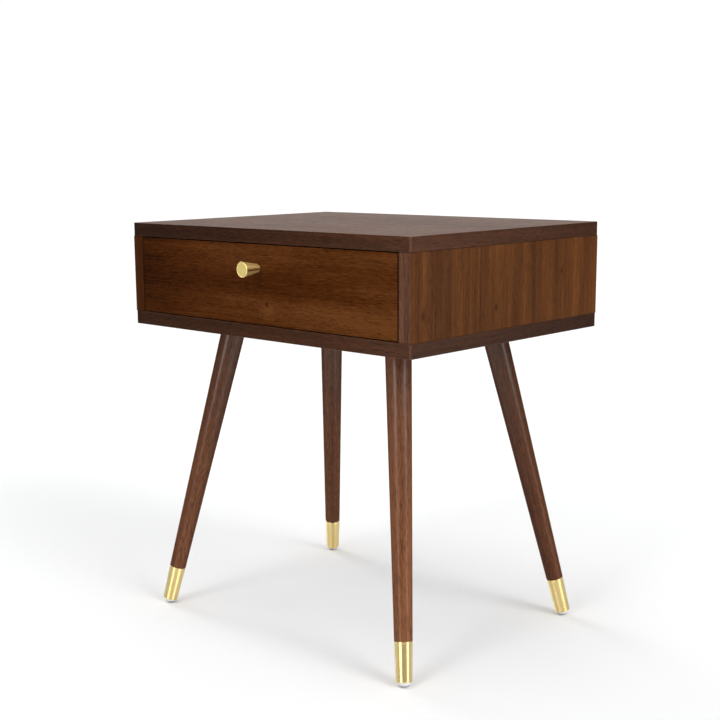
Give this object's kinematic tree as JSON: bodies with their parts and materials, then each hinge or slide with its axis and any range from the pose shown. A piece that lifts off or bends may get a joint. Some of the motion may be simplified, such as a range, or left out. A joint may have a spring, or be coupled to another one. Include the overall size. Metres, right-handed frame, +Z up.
{
  "type": "nightstand",
  "caption": "Low-profile wooden nightstand with an inset drawer on ball-bearing slides, a turned brass knob, and splayed tapered round legs with brass ferrules and domed glides.",
  "frame": {"origin": "on the floor, under the centre of the box round the whole object at rest, knob included", "axes": "+Z up, -Y towards the front (the way the drawer opens), +X to the right seen from the front"},
  "size_m": [0.508, 0.413, 0.553],
  "materials": {
    "case_veneer": "satin",
    "drawer_front_veneer": "satin",
    "leg_wood": "satin",
    "drawer_box_wood": "satin",
    "back_panel_wood": "matte",
    "dowel_wood": "matte",
    "brass": "satin",
    "zinc_plated_steel": "satin",
    "black_steel": "satin",
    "screw_steel": "satin",
    "glide_plastic": "satin",
    "bumper_plastic": "matte"
  },
  "bodies": {
    "case": {"back_board": "back_panel_wood", "back_left_ferrule": "brass", "back_left_glide": "glide_plastic", "back_left_hanger_bolt": "screw_steel", "back_left_leg": "leg_wood", "back_left_leg_plate": "black_steel", "back_right_ferrule": "brass", "back_right_glide": "glide_plastic", "back_right_hanger_bolt": "screw_steel", "back_right_leg": "leg_wood", "back_right_leg_plate": "black_steel", "bottom_board": "case_veneer", "case_dowels": "dowel_wood", "front_left_ferrule": "brass", "front_left_glide": "glide_plastic", "front_left_hanger_bolt": "screw_steel", "front_left_leg": "leg_wood", "front_left_leg_plate": "black_steel", "front_right_ferrule": "brass", "front_right_glide": "glide_plastic", "front_right_hanger_bolt": "screw_steel", "front_right_leg": "leg_wood", "front_right_leg_plate": "black_steel", "glide_nails": "screw_steel", "left_side_board": "case_veneer", "left_slide_bumper": "bumper_plastic", "left_slide_outer_member": "zinc_plated_steel", "leg_plate_screws": "screw_steel", "right_side_board": "case_veneer", "right_slide_bumper": "bumper_plastic", "right_slide_outer_member": "zinc_plated_steel", "slide_to_case_screws": "screw_steel", "top_board": "case_veneer"},
    "drawer": {"drawer_back": "drawer_box_wood", "drawer_bottom": "back_panel_wood", "drawer_dowels": "dowel_wood", "drawer_front": "drawer_front_veneer", "drawer_front_screws": "screw_steel", "drawer_left_side": "drawer_box_wood", "drawer_right_side": "drawer_box_wood", "drawer_sub_front": "drawer_box_wood", "knob": "brass", "knob_screw": "screw_steel", "left_slide_inner_member": "zinc_plated_steel", "right_slide_inner_member": "zinc_plated_steel", "slide_to_drawer_screws": "screw_steel"},
    "left_slide_middle_member": {"left_slide_middle_member": "zinc_plated_steel"},
    "left_slide_outer_ball_cage": {"left_slide_outer_ball_cage": "zinc_plated_steel"},
    "left_slide_inner_ball_cage": {"left_slide_inner_ball_cage": "zinc_plated_steel"},
    "right_slide_middle_member": {"right_slide_middle_member": "zinc_plated_steel"},
    "right_slide_outer_ball_cage": {"right_slide_outer_ball_cage": "zinc_plated_steel"},
    "right_slide_inner_ball_cage": {"right_slide_inner_ball_cage": "zinc_plated_steel"}
  },
  "joints": [
    {"name": "drawer_slide", "type": "slide", "parent": "case", "child": "drawer", "axis": [0, -1, 0], "range_m": [0, 0.34]},
    {"name": "left_slide_middle_member_travel", "type": "slide", "parent": "case", "child": "left_slide_middle_member", "axis": [0, -1, 0], "range_m": [0, 0.17]},
    {"name": "left_slide_outer_ball_cage_travel", "type": "slide", "parent": "case", "child": "left_slide_outer_ball_cage", "axis": [0, -1, 0], "range_m": [0, 0.085]},
    {"name": "left_slide_inner_ball_cage_travel", "type": "slide", "parent": "case", "child": "left_slide_inner_ball_cage", "axis": [0, -1, 0], "range_m": [0, 0.255]},
    {"name": "right_slide_middle_member_travel", "type": "slide", "parent": "case", "child": "right_slide_middle_member", "axis": [0, -1, 0], "range_m": [0, 0.17]},
    {"name": "right_slide_outer_ball_cage_travel", "type": "slide", "parent": "case", "child": "right_slide_outer_ball_cage", "axis": [0, -1, 0], "range_m": [0, 0.085]},
    {"name": "right_slide_inner_ball_cage_travel", "type": "slide", "parent": "case", "child": "right_slide_inner_ball_cage", "axis": [0, -1, 0], "range_m": [0, 0.255]}
  ],
  "couplings": [
    {"joint": "left_slide_middle_member_travel", "follows": "drawer_slide", "ratio": 0.5},
    {"joint": "left_slide_outer_ball_cage_travel", "follows": "drawer_slide", "ratio": 0.25},
    {"joint": "left_slide_inner_ball_cage_travel", "follows": "drawer_slide", "ratio": 0.75},
    {"joint": "right_slide_middle_member_travel", "follows": "drawer_slide", "ratio": 0.5},
    {"joint": "right_slide_outer_ball_cage_travel", "follows": "drawer_slide", "ratio": 0.25},
    {"joint": "right_slide_inner_ball_cage_travel", "follows": "drawer_slide", "ratio": 0.75}
  ]
}
